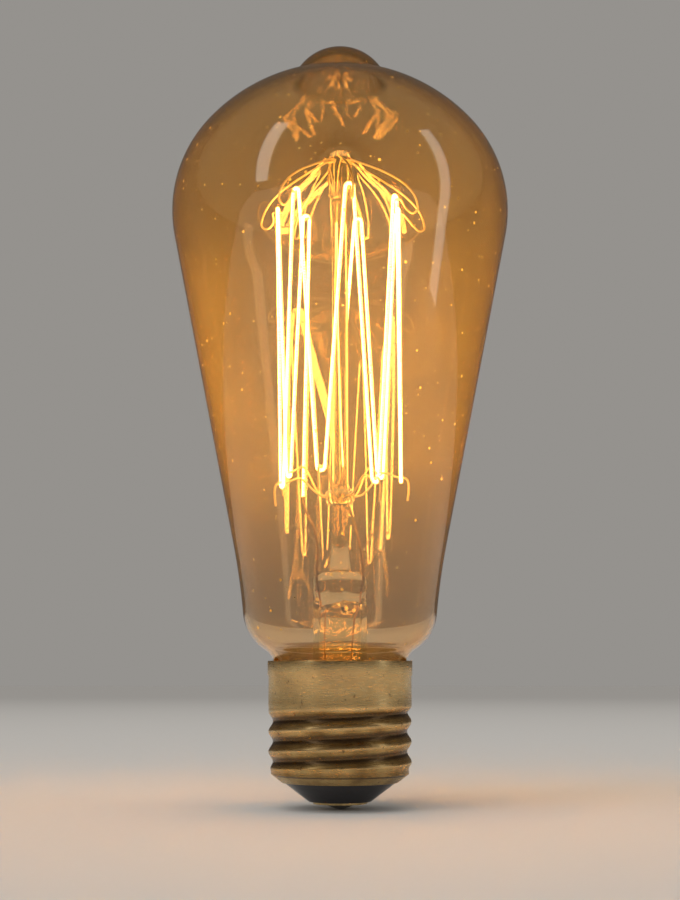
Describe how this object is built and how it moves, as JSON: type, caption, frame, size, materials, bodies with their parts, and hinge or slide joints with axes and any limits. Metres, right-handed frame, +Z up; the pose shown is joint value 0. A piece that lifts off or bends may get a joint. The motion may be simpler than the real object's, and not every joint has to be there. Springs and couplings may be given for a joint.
{
  "type": "filament light bulb",
  "caption": "Clear teardrop filament light bulb: blown glass with a drawn tip, a tall cage filament on a glass mount and a brass screw cap.",
  "frame": {"origin": "centre of the top rim of the screw cap, where the glass leaves the brass", "axes": "+Z up the glass towards the drawn tip, -Y the front"},
  "size_m": [0.064, 0.064, 0.1445],
  "materials": {
    "bulb_glass": "clear blown glass with a warm smoky amber cast, dusty",
    "stem_glass": "clear drawn glass",
    "filament": "glowing coiled wire",
    "support_wire": "drawn wire, heat-tinted",
    "inner_lead": "oxidised drawn wire",
    "outer_lead": "copper wire",
    "cap_brass": "aged rolled sheet",
    "contact_brass": "stamped sheet",
    "cement": "baked cement, matt",
    "black_glass": "moulded black glass",
    "solder": "soft solder, dull"
  },
  "bodies": {
    "root": {"glass_envelope": "bulb_glass", "stem": "stem_glass", "support_rod": "stem_glass", "lower_bead": "stem_glass", "filament": "filament", "left_inner_lead": "inner_lead", "right_inner_lead": "inner_lead", "rim_lead": "outer_lead", "contact_lead": "outer_lead", "screw_shell": "cap_brass", "cap_cement": "cement", "cap_insulator": "black_glass", "centre_contact": "contact_brass", "contact_solder": "solder", "rim_solder": "solder", "upper_support_1": "support_wire", "upper_support_2": "support_wire", "upper_support_3": "support_wire", "upper_support_4": "support_wire", "upper_support_5": "support_wire", "upper_support_6": "support_wire", "upper_support_7": "support_wire", "lower_support_1": "support_wire", "lower_support_2": "support_wire", "lower_support_3": "support_wire", "lower_support_4": "support_wire", "lower_support_5": "support_wire", "lower_support_6": "support_wire"}
  },
  "joints": []
}
